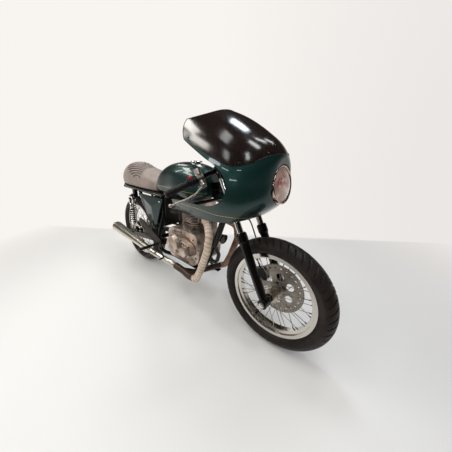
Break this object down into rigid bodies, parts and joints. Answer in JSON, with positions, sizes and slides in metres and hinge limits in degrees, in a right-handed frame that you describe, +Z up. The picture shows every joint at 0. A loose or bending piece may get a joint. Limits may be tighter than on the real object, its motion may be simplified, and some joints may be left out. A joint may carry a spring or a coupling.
{
  "type": "cafe racer motorcycle",
  "caption": "Cafe racer motorcycle with a half fairing, clip-on bars, upright twin engine and humped seat, leaning on its side stand.",
  "frame": {"origin": "centre of the bounding box in plan, on the ground", "axes": "+X forward, +Y to the rider's left, +Z up; the machine leans 4.5 degrees towards +Y on its side stand"},
  "size_m": [2.057, 0.7431, 1.2338],
  "materials": {
    "tyre": "matte",
    "silver_rim": "satin",
    "steel": "satin",
    "chrome": "polished",
    "black_paint": "satin",
    "black_plastic": "matte",
    "grip_rubber": "matte",
    "engine_alloy": "satin",
    "bright_alloy": "polished",
    "header_wrap": "matte",
    "green_paint": "gloss",
    "green_shell": "gloss",
    "seat_leather": "matte",
    "smoked_screen": "gloss",
    "lens_glass": "gloss",
    "red_lens": "gloss"
  },
  "bodies": {
    "chassis": {"battery_box": "black_plastic", "cam_cover": "engine_alloy", "carburettors": "bright_alloy", "crankcase": "engine_alloy", "cylinder_block": "engine_alloy", "cylinder_head": "engine_alloy", "drive_chain": "steel", "engine_side_covers": "engine_alloy", "exhaust_headers": "header_wrap", "fairing": "green_shell", "fairing_stays": "black_paint", "filler_cap": "chrome", "fuel_tank": "green_paint", "headlamp_bowl": "chrome", "headlamp_lens": "lens_glass", "horn": "black_paint", "main_frame": "black_paint", "rear_axle": "steel", "rear_brake_plate": "bright_alloy", "rear_loop": "black_paint", "rearsets": "bright_alloy", "seat_cushion": "seat_leather", "seat_pan": "black_plastic", "shock_dampers": "chrome", "shock_springs": "chrome", "side_panels": "green_paint", "silencer": "chrome", "silencer_tip": "black_paint", "swingarm": "black_paint", "tail_lamp": "red_lens", "windscreen": "smoked_screen"},
    "steering": {"front_axle": "steel", "fork_lowers": "black_paint", "fork_tubes": "chrome", "fork_yokes": "black_paint", "clip_on_bars": "black_paint", "grips": "grip_rubber", "control_housings": "black_plastic", "lever_perches": "bright_alloy", "control_levers": "bright_alloy", "clocks": "black_plastic", "front_caliper": "black_paint", "brake_hose": "grip_rubber"},
    "front_wheel": {"front_tyre": "tyre", "front_rim": "silver_rim", "front_spokes": "steel", "front_hub": "bright_alloy", "front_disc": "steel"},
    "rear_wheel": {"rear_tyre": "tyre", "rear_rim": "silver_rim", "rear_spokes": "steel", "rear_hub": "bright_alloy", "rear_sprocket": "steel"},
    "side_stand": {"side_stand": "black_paint"}
  },
  "joints": [
    {"name": "steering", "type": "hinge", "parent": "chassis", "child": "steering", "pos_m": [0.38421, -0.00283, 0.82827], "axis": [-0.4617, 0.0696, 0.8843], "range_deg": [-25, 25]},
    {"name": "front_wheel_spin", "type": "hinge", "parent": "steering", "child": "front_wheel", "pos_m": [0.7065, -0.04274, 0.32118], "axis": [0, 0.9969, -0.0785], "continuous": true},
    {"name": "rear_wheel_spin", "type": "hinge", "parent": "chassis", "child": "rear_wheel", "pos_m": [-0.7105, -0.04305, 0.31719], "axis": [0, 0.9969, -0.0785], "continuous": true},
    {"name": "side_stand_fold", "type": "hinge", "parent": "chassis", "child": "side_stand", "pos_m": [-0.097, 0.10456, 0.25542], "axis": [0, 0.9026, 0.4305], "range_deg": [0, 100]}
  ]
}
